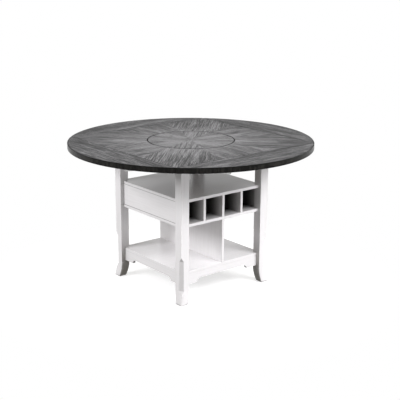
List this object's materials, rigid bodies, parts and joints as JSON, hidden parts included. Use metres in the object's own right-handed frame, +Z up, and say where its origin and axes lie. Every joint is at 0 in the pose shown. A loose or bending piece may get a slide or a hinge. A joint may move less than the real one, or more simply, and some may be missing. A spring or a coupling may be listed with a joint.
{
  "type": "counter-height dining table with lazy susan",
  "caption": "Round counter-height dining table with a flush lazy susan, drop leaves on folding stays, and a square base with bottle cubbies over a divided shelf.",
  "frame": {"origin": "on the floor, under the middle of the table", "axes": "+Z up; the cubbies open to -Y (front) and +Y (back); the closed side panels face -X (left) and +X (right)"},
  "size_m": [1.524, 1.524, 0.914],
  "materials": {
    "top_veneer": "satin charcoal stain over open-grained veneer",
    "cream_paint": "satin antique white paint",
    "plain_wood": "bare",
    "stained_board": "matt dark stain",
    "plated_steel": "zinc plated",
    "glide_plastic": "matt black"
  },
  "bodies": {
    "table": {"square_top": "top_veneer", "leg_front_left": "cream_paint", "leg_front_right": "cream_paint", "leg_back_right": "cream_paint", "leg_back_left": "cream_paint", "top_rail_front": "cream_paint", "top_rail_right": "cream_paint", "top_rail_back": "cream_paint", "top_rail_left": "cream_paint", "box_top_board": "cream_paint", "box_bottom_board": "cream_paint", "box_side_left": "cream_paint", "box_side_right": "cream_paint", "box_back_panel": "cream_paint", "bottle_dividers": "cream_paint", "shelf_board": "cream_paint", "shelf_divider": "cream_paint", "shelf_apron_front": "cream_paint", "shelf_apron_right": "cream_paint", "shelf_apron_back": "cream_paint", "shelf_apron_left": "cream_paint", "corner_blocks": "plain_wood", "dowels": "plain_wood", "susan_carrier_board": "stained_board", "bearing_base_plate": "plated_steel", "hinge_table_plates": "plated_steel", "hinge_pins": "plated_steel", "stay_table_brackets": "plated_steel", "top_screws": "plated_steel", "frame_bolts": "plated_steel", "foot_glides": "glide_plastic"},
    "lazy_susan": {"lazy_susan": "top_veneer", "bearing_turning_plate": "plated_steel", "bearing_turning_screws": "plated_steel"},
    "ball_ring": {"ball_ring": "plated_steel"},
    "leaf_front": {"leaf_front": "top_veneer", "hinge_leaf_plates_front": "plated_steel", "leaf_screws_front": "plated_steel", "stay_leaf_brackets_front": "plated_steel"},
    "stay_table_arms_front": {"stay_table_arms_front": "plated_steel"},
    "stay_leaf_arms_front": {"stay_leaf_arms_front": "plated_steel"},
    "leaf_right": {"leaf_right": "top_veneer", "hinge_leaf_plates_right": "plated_steel", "leaf_screws_right": "plated_steel", "stay_leaf_brackets_right": "plated_steel"},
    "stay_table_arms_right": {"stay_table_arms_right": "plated_steel"},
    "stay_leaf_arms_right": {"stay_leaf_arms_right": "plated_steel"},
    "leaf_back": {"leaf_back": "top_veneer", "hinge_leaf_plates_back": "plated_steel", "leaf_screws_back": "plated_steel", "stay_leaf_brackets_back": "plated_steel"},
    "stay_table_arms_back": {"stay_table_arms_back": "plated_steel"},
    "stay_leaf_arms_back": {"stay_leaf_arms_back": "plated_steel"},
    "leaf_left": {"leaf_left": "top_veneer", "hinge_leaf_plates_left": "plated_steel", "leaf_screws_left": "plated_steel", "stay_leaf_brackets_left": "plated_steel"},
    "stay_table_arms_left": {"stay_table_arms_left": "plated_steel"},
    "stay_leaf_arms_left": {"stay_leaf_arms_left": "plated_steel"}
  },
  "joints": [
    {"name": "lazy_susan_spin", "type": "hinge", "parent": "table", "child": "lazy_susan", "pos_m": [0, 0, 0.887], "axis": [0, 0, 1], "continuous": true},
    {"name": "ball_ring_spin", "type": "hinge", "parent": "table", "child": "ball_ring", "pos_m": [0, 0, 0.887], "axis": [0, 0, 1], "continuous": true},
    {"name": "leaf_front_fold", "type": "hinge", "parent": "table", "child": "leaf_front", "pos_m": [0, -0.53882, 0.8772], "axis": [1, 0, 0], "range_deg": [0, 90]},
    {"name": "stay_table_arms_front_swing", "type": "hinge", "parent": "table", "child": "stay_table_arms_front", "pos_m": [0, -0.41881, 0.8652], "axis": [1, 0, 0], "range_deg": [0, 90]},
    {"name": "stay_leaf_arms_front_swing", "type": "hinge", "parent": "leaf_front", "child": "stay_leaf_arms_front", "pos_m": [0, -0.65882, 0.8652], "axis": [1, 0, 0], "range_deg": [-90, 0]},
    {"name": "leaf_right_fold", "type": "hinge", "parent": "table", "child": "leaf_right", "pos_m": [0.53882, 0, 0.8772], "axis": [0, 1, 0], "range_deg": [0, 90]},
    {"name": "stay_table_arms_right_swing", "type": "hinge", "parent": "table", "child": "stay_table_arms_right", "pos_m": [0.41881, 0, 0.8652], "axis": [0, 1, 0], "range_deg": [0, 90]},
    {"name": "stay_leaf_arms_right_swing", "type": "hinge", "parent": "leaf_right", "child": "stay_leaf_arms_right", "pos_m": [0.65882, 0, 0.8652], "axis": [0, 1, 0], "range_deg": [-90, 0]},
    {"name": "leaf_back_fold", "type": "hinge", "parent": "table", "child": "leaf_back", "pos_m": [0, 0.53882, 0.8772], "axis": [-1, 0, 0], "range_deg": [0, 90]},
    {"name": "stay_table_arms_back_swing", "type": "hinge", "parent": "table", "child": "stay_table_arms_back", "pos_m": [0, 0.41881, 0.8652], "axis": [-1, 0, 0], "range_deg": [0, 90]},
    {"name": "stay_leaf_arms_back_swing", "type": "hinge", "parent": "leaf_back", "child": "stay_leaf_arms_back", "pos_m": [0, 0.65882, 0.8652], "axis": [-1, 0, 0], "range_deg": [-90, 0]},
    {"name": "leaf_left_fold", "type": "hinge", "parent": "table", "child": "leaf_left", "pos_m": [-0.53882, 0, 0.8772], "axis": [0, -1, 0], "range_deg": [0, 90]},
    {"name": "stay_table_arms_left_swing", "type": "hinge", "parent": "table", "child": "stay_table_arms_left", "pos_m": [-0.41881, 0, 0.8652], "axis": [0, -1, 0], "range_deg": [0, 90]},
    {"name": "stay_leaf_arms_left_swing", "type": "hinge", "parent": "leaf_left", "child": "stay_leaf_arms_left", "pos_m": [-0.65882, 0, 0.8652], "axis": [0, -1, 0], "range_deg": [-90, 0]}
  ],
  "couplings": [
    {"joint": "ball_ring_spin", "follows": "lazy_susan_spin", "ratio": 0.5},
    {"joint": "stay_table_arms_front_swing", "follows": "leaf_front_fold", "ratio": 1},
    {"joint": "stay_leaf_arms_front_swing", "follows": "leaf_front_fold", "ratio": -1},
    {"joint": "stay_table_arms_right_swing", "follows": "leaf_right_fold", "ratio": 1},
    {"joint": "stay_leaf_arms_right_swing", "follows": "leaf_right_fold", "ratio": -1},
    {"joint": "stay_table_arms_back_swing", "follows": "leaf_back_fold", "ratio": 1},
    {"joint": "stay_leaf_arms_back_swing", "follows": "leaf_back_fold", "ratio": -1},
    {"joint": "stay_table_arms_left_swing", "follows": "leaf_left_fold", "ratio": 1},
    {"joint": "stay_leaf_arms_left_swing", "follows": "leaf_left_fold", "ratio": -1}
  ]
}
